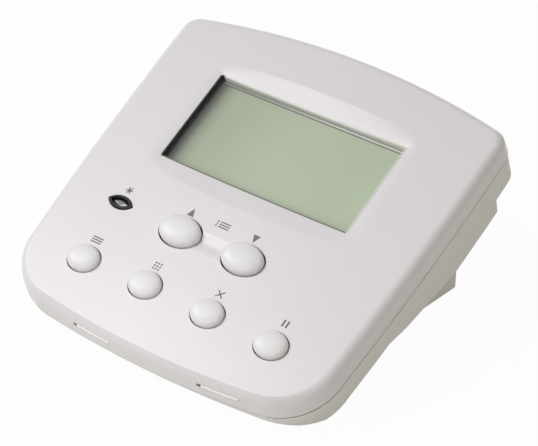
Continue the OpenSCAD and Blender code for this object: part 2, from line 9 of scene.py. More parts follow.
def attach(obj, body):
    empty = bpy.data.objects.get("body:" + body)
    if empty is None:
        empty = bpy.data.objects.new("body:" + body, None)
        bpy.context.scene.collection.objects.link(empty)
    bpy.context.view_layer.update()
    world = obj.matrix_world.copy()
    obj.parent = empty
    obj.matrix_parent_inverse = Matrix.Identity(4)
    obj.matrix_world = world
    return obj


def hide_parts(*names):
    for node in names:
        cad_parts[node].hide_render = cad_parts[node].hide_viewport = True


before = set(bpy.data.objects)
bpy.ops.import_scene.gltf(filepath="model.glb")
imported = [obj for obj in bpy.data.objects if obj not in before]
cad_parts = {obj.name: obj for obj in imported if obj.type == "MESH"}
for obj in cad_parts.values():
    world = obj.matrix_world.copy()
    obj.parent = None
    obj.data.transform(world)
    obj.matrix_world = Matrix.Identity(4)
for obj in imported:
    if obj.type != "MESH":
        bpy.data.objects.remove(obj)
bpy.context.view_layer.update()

# Sizes of the box in millimetres, as the solids have them
TILT = math.radians(21.8)
CT, ST = math.cos(TILT), math.sin(TILT)
HALF_W, WIDEST = 62.7, 30.0
REACH_FRONT, REACH_REAR = 82.75, 43.45
BOW_FRONT, BOW_REAR, BOW_SIDE = 333.0, 266.0, 1300.0
CORNER_FRONT, CORNER_REAR = 20.0, 6.5
EDGE, DRAFT, INNER = 2.9, 0.3, 0.8
PARTING, PARTING_GAP, RIM_REAR = 8.0, 0.35, 18.9
RABBET_IN, RABBET_H = 1.1, 1.5
FACE_WALL, SIDE_WALL = 2.4, 2.2
FRONT_Y = -(REACH_FRONT - DRAFT - EDGE) * CT + EDGE * ST - EDGE
REAR_Y = (REACH_REAR - 0.5) * CT + (RIM_REAR - 0.3) * ST
WINDOW_Y, WINDOW_Z = -(FRONT_Y + REAR_Y) / 2, 41.7
WINDOW_W, WINDOW_H, WINDOW_R = 72.6, 36.2, 0.9
DISPLAY_U, DISPLAY_V, DISPLAY_DEPTH = -1.1, 0.7, 3.9
DISH_DEPTH, DISH_TOP, DISH_LOW, DISH_SIDE, DISH_BOW, DISH_CORNER = 1.2, 7.2, 7.1, 5.0, 300.0, 9.0
LATCH_AT, LATCH_W, LATCH_DEPTH, LATCH_PLAY, SLOT = (-19.8, 28.4), 14.4, 3.9, 0.2, 0.6
LAMP_AT, LAMP_W, LAMP_H, LAMP_PLAY = (-38.0, -38.7), 9.6, 5.0, 0.15
SCREW_AT = (HALF_W - 13.7, 31.0, 3.9 - RIM_REAR)
FOOT_REAR, FOOT_HALF, FOOT_TAPER, FOOT_LEN, PAD_INSET = WINDOW_Y + 18.4, 55.3, 0.16, 58.0, 8.0
CELL_PITCH, CELL_Z, BAY_LEN = 11.2, 8.85, 48.6
BAY_REAR = FOOT_REAR - 2.7

# Sizes that only the looks have
FRONT_EDGE, FRONT_TURN = 9.5, math.radians(42)  # radius and turn of the front edge's arc
CREASE_FROM, CREASE_SPAN = -65.0, 16.0  # where the sides' round starts to change into it, over what length
GROOVE = ((0.5, 0.0), (0.4, 0.22), (0.0, 0.3))  # inset and height of the shadow step at the parting
DISH_FADE, DISH_SOFT, DISH_STEPS = 0.55, 0.8, 12
LINER, LINER_DROP, LINER_SINK, WELL_EASE = 0.5, 0.08, 0.02, 0.15
SCOOP_W, SCOOP_DEPTH, SCOOP_FROM = 7.6, 0.5, 2.3
PIT_W, PIT_FRONT, PIT_REAR = 1.2, 0.75, 1.9
TIP_SHORT, TIP_FRONT, TIP_REAR, TIP_LOW, TIP_HIGH = 1.4, 0.5, 1.6, 0.45, 0.35
LENS_IN, LENS_ROUND, LENS_DEPTH, LENS_FOOT = 1.35, 1.0, 0.9, -2.0
COIL_SEAT, PRINT_SINK, PRINT_RISE = 0.85, 0.02, 0.03
INSIDE, ABOVE, THROUGH = 1, 3, 6  # how far cutters run past a wall's inner side, above the face, both ways
SLOT_AHEAD, SLOT_BACK = 4, 5  # how far the slots' cutters run, before and behind the front

# Keys: place across and up the face, then width, height, rise and gap as they look
ROW_PITCH, LIST_PITCH = 24.1, 24.2
ROW_KEY, LIST_KEY = (11.3, 9.6, 2.3, 0.33), (14.7, 10.8, 2.9, 0.5)
KEYS = {name: ((k - 1.5) * ROW_PITCH, v, ROW_KEY) for k, (name, v) in enumerate((
    ("options_key", -61.5), ("dial_key", -60.9), ("remove_key", -60.9), ("waiting_key", -61.5)))}
KEYS["list_up_key"] = (DISPLAY_U - LIST_PITCH / 2, -39.7, LIST_KEY)
KEYS["list_down_key"] = (DISPLAY_U + LIST_PITCH / 2, -39.7, LIST_KEY)
KEY_FLANK = 0.62  # 1 is an elliptical dome, less has steeper sides and a flatter crown
KEY_BELOW = 0.6  # how far a cap reaches below the face's wall

# Looks: depth of surface grain in metres, and the studio's colours, strength and aim
GRAIN_DEPTH = 0.0002
WHITE, FLOOR_COLOUR, SKY_COLOUR = (1, 1, 1, 1), (0.86, 0.86, 0.81, 1), (0.97, 0.94, 0.84, 1)
SKY_POWER, FLOOR_GLOW = 0.415, 0.96
LIGHT_COLOUR, LIGHT_AIM = (0.885, 0.885, 0.96), Vector((0, 0, 0.03))

# From face axes in millimetres (right, up the face, out of the face) to the table frame in metres
TABLE = Matrix.Scale(0.001, 4)
FACE = TABLE @ Matrix.Translation((0, WINDOW_Y, WINDOW_Z)) @ Matrix.Rotation(TILT, 4, "X")


# Nodes: one socket class and one way to add a node


class Tie:
    """A socket of a node tree; sums and products on it add Math nodes."""

    def __init__(self, tree, socket):
        self.tree, self.socket = tree, socket

    def sum_node(self, operation, *values):
        return add(self.tree, "ShaderNodeMath", {"operation": operation}, dict(enumerate(values)))

    def __add__(self, other):
        return self.sum_node("ADD", self, other)

    def __radd__(self, other):
        return self.sum_node("ADD", other, self)

    def __sub__(self, other):
        return self.sum_node("SUBTRACT", self, other)

    def __rsub__(self, other):
        return self.sum_node("SUBTRACT", other, self)

    def __mul__(self, other):
        return self.sum_node("MULTIPLY", self, other)

    def __rmul__(self, other):
        return self.sum_node("MULTIPLY", other, self)

    def __truediv__(self, other):
        return self.sum_node("DIVIDE", self, other)

    def __pow__(self, other):
        return self.sum_node("POWER", self, other)

    def __lt__(self, other):
        return self.sum_node("LESS_THAN", self, other)

    def __gt__(self, other):
        return self.sum_node("GREATER_THAN", self, other)

    def sine(self):
        return self.sum_node("SINE", self)

    def cosine(self):
        return self.sum_node("COSINE", self)

    def __abs__(self):
        return self.sum_node("ABSOLUTE", self)

    def least(self, other):
        return self.sum_node("MINIMUM", self, other)

    def most(self, other):
        return self.sum_node("MAXIMUM", self, other)

    def fold(self, size):
        """Back and forth between 0 and a size."""
        return self.sum_node("PINGPONG", self, size)

    def ramp(self, low, high):
        """0 below low, 1 above high, smooth between."""
        smooth = {"interpolation_type": "SMOOTHSTEP"}
        return add(self.tree, "ShaderNodeMapRange", smooth, {0: self, 1: low, 2: high})

    def parts(self):
        """The three parts of a vector."""
        apart = add(self.tree, "ShaderNodeSeparateXYZ", {}, {0: self})
        return [Tie(self.tree, socket) for socket in apart.socket.node.outputs]


def add(tree, kind, settings=None, sockets=None, out=0):
    """A node of that kind with its settings, then its sockets' values or links."""
    node = tree.nodes.new(kind)
    for name, value in (settings or {}).items():
        setattr(node, name, value)
    for key, value in (sockets or {}).items():
        socket = node.inputs[key]
        if isinstance(value, Tie):
            tree.links.new(value.socket, socket)
        else:
            socket.default_value = value
    return Tie(tree, node.outputs[out]) if node.outputs else None


def srgb(r, g, b):
    """Shader colour for a colour as it looks, 0 to 255."""
    parts = [c / 255 for c in (r, g, b)]
    return tuple(c / 12.92 if c < 0.04045 else ((c + 0.055) / 1.055) ** 2.4 for c in parts) + (1.0,)


def blend_colour(tree, share, first, second):
    return add(tree, "ShaderNodeMix", {"data_type": "RGBA"}, {0: share, 6: first, 7: second}, 2)


def noise(tree, place, scale, detail=2.0, rough=0.5):
    values = {"Vector": place, "Scale": scale, "Detail": detail, "Roughness": rough}
    return add(tree, "ShaderNodeTexNoise", {}, values)


def bump(tree, height, strength):
    values = {"Height": height, "Strength": strength, "Distance": GRAIN_DEPTH}
    return add(tree, "ShaderNodeBump", {}, values)


def bare_tree(block):
    """Node tree of a material or a world, emptied."""
    block.use_nodes = True
    block.node_tree.nodes.clear()
    return block.node_tree


def material(name, paint, **fixed):
    """A material whose shader sockets that vary come from paint(tree, place)."""
    made = bpy.data.materials.new(name)
    tree = bare_tree(made)
    place = add(tree, "ShaderNodeTexCoord", out="Object")
    values = {k.replace("_", " "): v for k, v in fixed.items()}
    values.update(paint(tree, place))
    shader = add(tree, "ShaderNodeBsdfPrincipled", {}, values)
    add(tree, "ShaderNodeOutputMaterial", {}, {"Surface": shader})
    return made


def moulded(colour, shade, rough, grain=0.08, size=2600.0):
    """Paint for moulded plastic: slow drift of tone, fine spark-eroded grain."""
    def paint(tree, place):
        drift = noise(tree, place, 22.0, 3.0)
        fine = noise(tree, place, size, 2.0, 0.6)
        tone = (0.75 * drift + 0.25 * fine).ramp(0.3, 0.7)
        return {
            "Base Color": blend_colour(tree, tone, colour, shade),
            "Roughness": rough - 0.05 + 0.1 * fine,
            "Normal": bump(tree, fine, grain),
        }
    return paint


def brushed(colour, shade, rough):
    """Paint for drawn or turned metal."""
    def paint(tree, place):
        streak = add(tree, "ShaderNodeMapping", {}, {"Vector": place, "Scale": (3000.0, 200.0, 3000.0)})
        line = noise(tree, streak, 1.0)
        return {
            "Base Color": blend_colour(tree, line, colour, shade),
            "Roughness": rough - 0.06 + 0.12 * line,
            "Normal": bump(tree, line, 0.05),
        }
    return paint


def face_axes(tree, place):
    """Across, up and out of the face in millimetres."""
    turned = add(tree, "ShaderNodeMapping", {"vector_type": "TEXTURE"}, {
        "Vector": place, "Location": (0, WINDOW_Y / 1000, WINDOW_Z / 1000), "Rotation": (TILT, 0, 0),
        "Scale": (0.001, 0.001, 0.001)})
    return turned.parts()


def painted_parting_shade_and_hook_light(colour, shade, rough, joint_low, joint_high, hooks=None):
    """Moulded plastic with painted shade in a band at the parting between the two halves, and, where a colour
    for the hooks is given, what stands above that band painted in it as painted light.
    """
    plain = moulded(colour, shade, rough)

    def paint(tree, place):
        values = plain(tree, place)
        w = face_axes(tree, place)[2]
        # painted shade: the band at the parting is darkened to stand in for the shadow in the gap between the
        # halves
        painted_shade_band = (w > joint_low) * (w < joint_high)
        values["Base Color"] = blend_colour(tree, painted_shade_band, values["Base Color"], srgb(52, 49, 45))
        # painted light: the hooks above the band are painted paler to stand in for the light on their ledges
        if hooks:
            values["Base Color"] = blend_colour(tree, w > joint_high, values["Base Color"], hooks)
        return values
    return paint


def display_axes(tree, place):
    """The same from the middle of the display."""
    u, v, w = face_axes(tree, place)
    return u - DISPLAY_U, v - DISPLAY_V, w


def display_paint(tree, place):
    """Blank display: grey-green, darker towards the left, with the faint net of its picture cells and a
    painted shadow of the opening's left wall; at the top a grey band, a painted highlight line, a painted
    shade line."""
    u, v = display_axes(tree, place)[:2]
    half_cell, seam = 0.3, 0.04
    net = (u.fold(half_cell).least(v.fold(half_cell)) < seam) * 0.05
    cloud = noise(tree, place, 60.0)
    tone = u.ramp(-34.0, 4.0) * 0.8 + 0.2 * cloud
    base = blend_colour(tree, tone, srgb(155, 170, 137), srgb(179, 194, 163))
    base = blend_colour(tree, net, base, srgb(140, 152, 128))
    # painted shadow of the opening's left wall, darkest at the wall and fading out to the right
    base = blend_colour(tree, (1 - u.ramp(-37.0, -27.5)) * 0.85, base, srgb(52, 56, 48))
    # top edge: a painted shade line, over it a painted highlight line that brightens towards the right, then
    # a grey band
    light = blend_colour(tree, u.ramp(-34.0, 20.0), srgb(170, 172, 162), srgb(255, 255, 251))
    lines = (16.6, 17.1, srgb(92, 96, 86)), (17.1, 17.85, light), (17.85, 20.0, srgb(176, 176, 170))
    for low, high, line in lines:
        base = blend_colour(tree, (v > low) * (v < high), base, line)
    return {"Base Color": base, "Roughness": 0.3 + 0.1 * cloud}


def cell_paint(tree, place):
    """Round cells: plain grey-blue jacket with a pale band, bare metal at the ends."""
    off = abs(place.parts()[1] - (BAY_REAR - BAY_LEN / 2) / 1000)
    bare = off.ramp(0.0212, 0.0214)
    stripe = (off > 0.0150) * (off < 0.0175)
    scuff = noise(tree, place, 400.0, 3.0)
    jacket = blend_colour(tree, stripe, srgb(112, 124, 138), srgb(198, 202, 206))
    return {
        "Base Color": blend_colour(tree, bare, jacket, srgb(196, 197, 198)),
        "Metallic": bare,
        "Roughness": 0.3 + 0.15 * scuff,
    }


def board_paint(tree, place):
    """Green board with copper tracks under the solder mask."""
    tracks = add(tree, "ShaderNodeTexBrick", {"offset": 0.5}, {
        "Vector": place, "Scale": 260.0, "Mortar Size": 0.03,
        "Color1": srgb(40, 104, 58), "Color2": srgb(34, 92, 52), "Mortar": srgb(66, 132, 74)})
    cloud = noise(tree, place, 200.0)
    return {"Base Color": tracks, "Roughness": 0.35 + 0.15 * cloud, "Normal": bump(tree, cloud, 0.05)}


def liner_light_and_shade(tree, place):
    """Collar of the opening in painted light and shade: painted black shade at its left end, grey above with
    a paler upper edge, painted dark shade below, and a painted highlight on the inner half of its right side,
    grey on the outer half.
    """
    u, v, w = display_axes(tree, place)
    wear = noise(tree, place, 900.0)
    # painted light and shade on the upper side: grey, paler towards its top edge
    above = blend_colour(tree, w.ramp(-2.6, -2.1), srgb(176, 176, 170), srgb(228, 228, 222))
    # painted shade on the lower side
    tone = blend_colour(tree, v > 0, srgb(104, 106, 98), above)
    right = WINDOW_W / 2 - LINER
    # painted highlight along the inner half of the right side, grey on its outer half
    tone = blend_colour(tree, u > right - 0.05, tone, srgb(240, 240, 234))
    tone = blend_colour(tree, u > right + LINER / 2, tone, srgb(140, 138, 132))
    # painted shade: black at the left end, where the opening's left wall is in shadow
    tone = blend_colour(tree, 1 - u.ramp(-35.4, -34.2), tone, srgb(20, 21, 19))
    return {"Base Color": tone, "Roughness": 0.35 + 0.15 * wear}


def lens_paint(tree, place):
    """Clear lamp lens: smoky grey, with a painted glint at its lower right."""
    u, v = face_axes(tree, place)[:2]
    # painted glint: a soft paler patch at the lens's lower right
    painted_glint = (0.5 * (u - LAMP_AT[0]) - (v - LAMP_AT[1])).ramp(0.75, 1.15)
    cloud = noise(tree, place, 700.0)
    smoke = blend_colour(tree, cloud, srgb(112, 112, 114), srgb(138, 138, 139))
    return {
        "Base Color": blend_colour(tree, painted_glint, smoke, srgb(238, 238, 238)),
        "Roughness": 0.12 + 0.1 * cloud,
    }


def clear_paint(tree, place):
    """Clear display window, not quite evenly polished."""
    return {"Roughness": 0.04 + 0.04 * noise(tree, place, 300.0)}


rear_tones = srgb(234, 231, 228), srgb(231, 228, 225)
# painted shade in the band at the parting of the upper half
housing_plastic = material("housing_plastic", painted_parting_shade_and_hook_light(
    srgb(228, 225, 226), srgb(225, 222, 223), 0.3, -PARTING - 1, -PARTING + 0.29))
# painted shade in the band at the parting of the lower half, and its hooks painted near-white as painted
# light
rear_plastic = material("rear_plastic", painted_parting_shade_and_hook_light(
    *rear_tones, 0.55, -PARTING - PARTING_GAP - 0.14, -PARTING + 1.4, srgb(252, 251, 249)))
door_plastic = material("door_plastic", moulded(*rear_tones, 0.55))
key_plastic = material("key_plastic", moulded(srgb(231, 229, 229), srgb(228, 226, 226), 0.36, 0.03))
clear_plastic = material("clear_plastic", clear_paint, Base_Color=WHITE, Alpha=0.06, IOR=1.49)
display_glass = material("display_glass", display_paint)
window_liner = material("window_liner", liner_light_and_shade)
black_plastic = material("black_plastic", moulded(srgb(34, 34, 36), srgb(28, 28, 30), 0.42))
lamp_black = material(
    "lamp_black", moulded(srgb(20, 20, 21), srgb(14, 14, 15), 0.3, 0.01), Specular_IOR_Level=0.25)
lamp_clear = material("lamp_clear", lens_paint, Coat_Weight=0.6)
print_ink = material("print_ink", moulded(srgb(112, 112, 114), srgb(104, 104, 106), 0.6))
foot_rubber = material("foot_rubber", moulded(srgb(58, 58, 58), srgb(48, 48, 48), 0.8, 0.3, 1500.0))
silicone = material("silicone", moulded(srgb(150, 150, 148), srgb(140, 140, 138), 0.7, 0.1))
strip_silicone = material("strip_silicone", moulded(srgb(206, 160, 150), srgb(190, 146, 138), 0.7, 0.1))
board_laminate = material("board_laminate", board_paint)
chip_resin = material("chip_resin", moulded(srgb(40, 40, 42), srgb(34, 34, 36), 0.6, 0.2, 4000.0))
core_steel = material("core_steel", brushed(srgb(104, 98, 90), srgb(84, 78, 72), 0.5), Metallic=0.6)
can_sleeve = material("can_sleeve", moulded(srgb(48, 58, 96), srgb(40, 48, 84), 0.4))
led_resin = material("led_resin", moulded(srgb(170, 40, 34), srgb(150, 34, 30), 0.15, 0.01), Coat_Weight=0.5)
cell_jacket = material("cell_jacket", cell_paint)
plated_steel = material("plated_steel", brushed(srgb(206, 207, 210), srgb(182, 183, 188), 0.3), Metallic=1.0)
contact_brass = material(
    "contact_brass", brushed(srgb(226, 186, 104), srgb(206, 166, 88), 0.25), Metallic=1.0)
red_jacket = material("red_jacket", moulded(srgb(170, 44, 38), srgb(156, 38, 34), 0.45))
yellow_jacket = material("yellow_jacket", moulded(srgb(206, 176, 62), srgb(190, 160, 54), 0.45))


# Meshes: profiles, lofts and cuts, in millimetres


def mesh_of(name, points, faces, place=None):
    mesh = bpy.data.meshes.new(name)
    mesh.from_pydata([tuple(p) for p in points], [], faces)
    if place is not None:
        mesh.transform(place)
    mesh.validate()
    return mesh


def arc(centre, r, a0, a1, n):
    turns = [a0 + (a1 - a0) * k / n for k in range(n + 1)]
    return [(centre[0] + r * math.cos(a), centre[1] + r * math.sin(a)) for a in turns]


def meet(p, r, q, t, side):
    """Meeting point of two circles, on one side of the line between their centres."""
    d = (q - p).length
    e = (q - p) / d
    x = (d * d + r * r - t * t) / (2 * d)
    return p + x * e + side * math.sqrt(r * r - x * x) * Vector((-e[1], e[0]))


def bearing(p, q):
    return math.atan2(q[1] - p[1], q[0] - p[0])


def ring_line(centres, bows, corners, counts):
    """Closed line of a bowed front, side and rear with round corners, mirrored to the left."""
    front, side, rear = (Vector(c) for c in centres)
    front_c = meet(side, bows[1] - corners[0], front, bows[0] - corners[0], -1)
    rear_c = meet(side, bows[1] - corners[1], rear, bows[2] - corners[1], 1)
    low, high = bearing(front, front_c), bearing(rear, rear_c)
    right = bearing(side, front_c), bearing(side, rear_c)
    half = (arc(front, bows[0], -math.pi / 2, low, counts[0])[:-1]
            + arc(front_c, corners[0], low, right[0], counts[1])[:-1]
            + arc(side, bows[1], *right, counts[2])[:-1]
            + arc(rear_c, corners[1], right[1], high, counts[3])[:-1]
            + arc(rear, bows[2], high, math.pi / 2, counts[4]))
    return half + [(-x, y) for x, y in half[-2:0:-1]]


def outline(inset):
    """Plan of the housing set in by a distance."""
    centres = (0, BOW_FRONT - REACH_FRONT), (HALF_W - BOW_SIDE, WIDEST), (0, REACH_REAR - BOW_REAR)
    bows = [bow - inset for bow in (BOW_FRONT, BOW_SIDE, BOW_REAR)]
    return ring_line(centres, bows, (CORNER_FRONT - inset, CORNER_REAR - inset), (12, 26, 14, 18, 12))


def band(low, high, n):
    """Faces between two rings of n points, by the number of each ring's first point."""
    return [(low + k, low + (k + 1) % n, high + (k + 1) % n, high + k) for k in range(n)]


def loft(name, rings, place=FACE):
    """Closed solid through rings of points, lowest first."""
    n = len(rings[0])
    top = (len(rings) - 1) * n
    faces = [tuple(range(n - 1, -1, -1)), tuple(range(top, top + n))]
    for low in range(0, top, n):
        faces += band(low, low + n, n)
    return mesh_of(name, [p for ring in rings for p in ring], faces, place)


def raised(plan, w):
    return [(x, y, w) for x, y in plan]


def prism(name, plan, w0, w1, place=FACE):
    return loft(name, [raised(plan, w0), raised(plan, w1)], place)


def round_rect(w, h, r, n):
    plan = []
    for k, (sx, sy) in enumerate(((1, 1), (-1, 1), (-1, -1), (1, -1))):
        a = k * math.pi / 2
        plan += arc((sx * (w / 2 - r), sy * (h / 2 - r)), r, a, a + math.pi / 2, n)
    return plan


def lathe(name, profile, n):
    """Solid turned about the upright axis from a profile of (radius, height), low to high."""
    turns = [2 * math.pi * k / n for k in range(n)]
    rings = [[(r * math.cos(a), r * math.sin(a), w) for a in turns] for r, w in profile]
    return loft(name, rings, None)


def eye(grow, n=14):
    """Almond plan of the lamp."""
    h = LAMP_H / 2
    r = (LAMP_W ** 2 / 4 + h * h) / (2 * h)
    tip = math.acos((r - h) / (r + grow))
    top = arc((0, h - r), r + grow, math.pi / 2 - tip, math.pi / 2 + tip, n)
    low = arc((0, r - h), r + grow, -math.pi / 2 - tip, -math.pi / 2 + tip, n)
    return [(LAMP_AT[0] + x, LAMP_AT[1] + y) for x, y in top[:-1] + low[:-1]]


def eye_loft(name, steps):
    """Solid through almond rings of (growth, height), lowest first."""
    return loft(name, [raised(eye(grow), w) for grow, w in steps])


@contextmanager
def editing(mesh):
    """The mesh opened for changes, which are then written back to it."""
    work = bmesh.new()
    work.from_mesh(mesh)
    yield work
    work.to_mesh(mesh)
    work.free()


def outwards(mesh):
    with editing(mesh) as work:
        bmesh.ops.recalc_face_normals(work, faces=work.faces)
    return mesh


def joined(name, meshes):
    """One mesh of several."""
    made = bpy.data.meshes.new(name)
    with editing(made) as work:
        for mesh in meshes:
            work.from_mesh(mesh)
    return made


def show(name, data):
    piece = bpy.data.objects.new(name, data)
    bpy.context.scene.collection.objects.link(piece)
    return piece


def final_mesh(piece):
    """Plain mesh of a piece with its modifiers, which are then removed."""
    bpy.context.view_layer.update()
    made = bpy.data.meshes.new_from_object(piece.evaluated_get(bpy.context.evaluated_depsgraph_get()))
    piece.modifiers.clear()
    piece.data = made
    return piece


def cut(piece, meshes, operation="DIFFERENCE"):
    for k, mesh in enumerate(meshes):
        tool = show(f"tool_{k}", mesh)
        knife = piece.modifiers.new("cut", "BOOLEAN")
        knife.operation, knife.object, knife.solver = operation, tool, "EXACT"
        final_mesh(piece)
        bpy.data.objects.remove(tool)


def tidy(piece, finish, angle=32.0):
    """Merge doubles, smooth the rounded places, keep the flat ones flat, and give the finish."""
    with editing(piece.data) as work:
        bmesh.ops.remove_doubles(work, verts=work.verts, dist=1e-6)
        bmesh.ops.dissolve_degenerate(work, edges=work.edges, dist=1e-7)
    piece.data.shade_smooth()
    piece.data.set_sharp_from_angle(angle=math.radians(angle))
    even = piece.modifiers.new("even", "WEIGHTED_NORMAL")
    even.keep_sharp, even.mode, even.weight = True, "FACE_AREA", 80
    final_mesh(piece)
    piece.data.materials.clear()
    piece.data.materials.append(finish)
    return piece


def dressed_copy(name, node, finish, soften):
    """A CAD node's own form with its edges eased."""
    piece = show(name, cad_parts[node].data.copy())
    with editing(piece.data) as work:
        bmesh.ops.remove_doubles(work, verts=work.verts, dist=2e-6)
        bmesh.ops.dissolve_limit(work, angle_limit=math.radians(0.6), verts=work.verts, edges=work.edges)
    ease = piece.modifiers.new("ease", "BEVEL")
    ease.width, ease.segments, ease.limit_method = soften * 0.001, 3, "ANGLE"
    ease.angle_limit, ease.harden_normals = math.radians(38), False
    return tidy(final_mesh(piece), finish)


def stand_for(piece, body, slot, *nodes):
    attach(piece, body)
    if nodes:
        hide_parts(*nodes)


# Upper housing


def dish_edge():
    centres = ((0, DISH_BOW - WINDOW_H / 2 - DISH_LOW), (WINDOW_W / 2 + DISH_SIDE - DISH_BOW, 0),
               (0, WINDOW_H / 2 + DISH_TOP - DISH_BOW))
    return ring_line(centres, [DISH_BOW] * 3, [DISH_CORNER] * 2, (24, 16, 14, 16, 24))


def window_foot(p, inset=0.0):
    """Point of the window's edge, set in by a distance, that faces a point of the dish's edge."""
    a, b = WINDOW_W / 2 - WINDOW_R, WINDOW_H / 2 - WINDOW_R
    c = Vector((max(-a, min(a, p[0])), max(-b, min(b, p[1]))))
    return c + (Vector(p) - c).normalized() * (WINDOW_R - inset)


def dish_depth(foot):
    """Depth of the dish at a point of the window's edge: less towards the left and right ends."""
    return DISH_DEPTH * (1 - DISH_FADE * (2 * foot[0] / WINDOW_W) ** 2)


def on_display(points):
    return [(x + DISPLAY_U, y + DISPLAY_V, w) for x, y, w in points]


def window_cutter():
    """Opening and the dish that runs out from its edge, crisp above and below and soft at the sides."""
    edge = dish_edge()
    feet = [window_foot(p) for p in edge]
    rings = [raised(feet, -FACE_WALL - INSIDE)]
    for j in range(DISH_STEPS + 1):
        t = j / DISH_STEPS
        ring = []
        for p, foot in zip(edge, feet):
            way = Vector(p) - foot
            side = max(way[0] ** 2 / way.length_squared, DISH_SOFT * (2 * foot[0] / WINDOW_W) ** 4)
            rise = t + side * t * (1 - t)
            ring.append((foot[0] + way[0] * t, foot[1] + way[1] * t, -dish_depth(foot) * (1 - rise)))
        rings.append(ring)
    rings.append(raised(edge, ABOVE))
    return outwards(loft("window", [on_display(ring) for ring in rings]))


def oval(u, v, size, grow, w, n=72):
    a, b = size[0] / 2 + grow, size[1] / 2 + grow
    turns = [2 * math.pi * (k + 0.5) / n for k in range(n)]
    return [(u + a * math.cos(t), v + b * math.sin(t), w) for t in turns]


def key_wells():
    """Holes for the keys, with eased rims."""
    turns = [math.radians(15 * k) for k in range(6)]
    rims = [(0.0, -FACE_WALL - INSIDE)]
    rims += [(WELL_EASE * (1 - math.cos(a)), -WELL_EASE + WELL_EASE * math.sin(a)) for a in turns]
    rims += [(WELL_EASE, 0.02), (WELL_EASE, ABOVE)]
    wells = []
    for u, v, size in KEYS.values():
        wells.append(loft("well", [oval(u, v, size, size[3] + grow, w) for grow, w in rims]))
    return joined("wells", wells)


def scoop_cutter():
    """Soft valley between the two list keys."""
    u0, v = KEYS["list_up_key"][:2]
    u1 = KEYS["list_down_key"][0]
    steps = [-1 + k / 12 for k in range(25)]
    valley = [(SCOOP_W / 2 * t, -SCOOP_DEPTH * (1 + math.cos(math.pi * t)) / 2) for t in steps]
    valley += [(SCOOP_W / 2, ABOVE), (-SCOOP_W / 2, ABOVE)]
    ends = u0 + SCOOP_FROM, u1 - SCOOP_FROM
    return outwards(loft("scoop", [[(u, v + y, w) for y, w in valley] for u in ends]))


def flatten(piece):
    """Exact shading of the flat face and of what runs into it softly."""
    mesh, up = piece.data, (FACE.to_3x3() @ Vector((0, 0, 1))).normalized()
    level, touch, soft = FACE.translation.dot(up), 2e-6, math.cos(math.radians(20))
    normals = [corner.vector.copy() for corner in mesh.corner_normals]
    for polygon in mesh.polygons:
        if polygon.normal.dot(up) > soft:
            for k in polygon.loop_indices:
                if abs(mesh.vertices[mesh.loops[k].vertex_index].co.dot(up) - level) < touch:
                    normals[k] = up
    mesh.normals_split_custom_set(normals)


def front_strip(u0, u1, v0, v1, n=8):
    """Plan between two distances in from the bowed front."""
    line = [u0 + (u1 - u0) * k / n for k in range(n + 1)]
    front = [(u, u * u / (2 * BOW_FRONT) - REACH_FRONT) for u in line]
    return [(u, v + v0) for u, v in front] + [(u, v + v1) for u, v in reversed(front)]


def brow(t):
    """Ring of the upper edge, from the wall at 0 to the face at 1: a full round at the sides and rear, and
    at the front a wider arc that meets the face at a crease."""
    a, b = math.pi / 2 * t, FRONT_TURN * t
    round_in, round_w = DRAFT + EDGE * (1 - math.cos(a)), EDGE * (math.sin(a) - 1)
    wide_in = DRAFT + FRONT_EDGE * (1 - math.cos(b))
    wide_w = FRONT_EDGE * (math.sin(b) - math.sin(FRONT_TURN))
    ring = []
    for p, q in zip(outline(round_in), outline(wide_in)):
        s = max(0.0, min(1.0, (CREASE_FROM - p[1]) / CREASE_SPAN))
        s = s * s * (3 - 2 * s)
        ring.append((p[0] + (q[0] - p[0]) * s, p[1] + (q[1] - p[1]) * s, round_w + (wide_w - round_w) * s))
    return ring


def upper_housing():
    rings = [raised(outline(inset), -PARTING + h) for inset, h in GROOVE]
    rings += [brow(k / 14) for k in range(15)]
    shell = show("upper_housing", loft("upper_housing", rings))
    inner = [(SIDE_WALL, -PARTING - INSIDE), (SIDE_WALL + DRAFT, -FACE_WALL - INNER),
             (SIDE_WALL + DRAFT + INNER, -FACE_WALL)]
    cutters = [
        loft("cavity", [raised(outline(inset), w) for inset, w in inner]),
        prism("rabbet", outline(RABBET_IN), -PARTING - INSIDE, -PARTING + RABBET_H),
        window_cutter(),
        prism("lamp", eye(LAMP_PLAY), -THROUGH, THROUGH),
        scoop_cutter(),
        key_wells(),
    ]
    for u in LATCH_AT:
        u0, u1 = u - LATCH_W / 2 - LATCH_PLAY, u + LATCH_W / 2 + LATCH_PLAY
        v0, v1 = -REACH_FRONT - SLOT_AHEAD, -REACH_FRONT + SLOT_BACK
        plan = [(u0, v0), (u1, v0), (u1, v1), (u0, v1)]
        cutters.append(prism("slot", plan, -LATCH_DEPTH - SLOT, -LATCH_DEPTH + SLOT))
        pit = front_strip(u0, u0 + PIT_W, PIT_FRONT, PIT_REAR)
        cutters.append(prism("pit", pit, -PARTING - INSIDE, -LATCH_DEPTH))
    cut(shell, cutters)
    flatten(tidy(shell, housing_plastic))
    stand_for(shell, "housing", "housing_plastic", "front_housing")


def lower_housing():
    """The lower half, its two hooks brought out to the front of their slots."""
    shell = dressed_copy("lower_housing", "rear_housing", rear_plastic, 0.15)
    tips = []
    for u in LATCH_AT:
        plan = front_strip(u - LATCH_W / 2 + TIP_SHORT, u + LATCH_W / 2, TIP_FRONT, TIP_REAR)
        tips.append(prism("tip", plan, -LATCH_DEPTH - TIP_LOW, -LATCH_DEPTH + TIP_HIGH))
    cut(shell, tips, "UNION")
    stand_for(tidy(shell, rear_plastic), "housing", "housing_plastic", "rear_housing")


upper_housing()
lower_housing()


# Geometry node trees


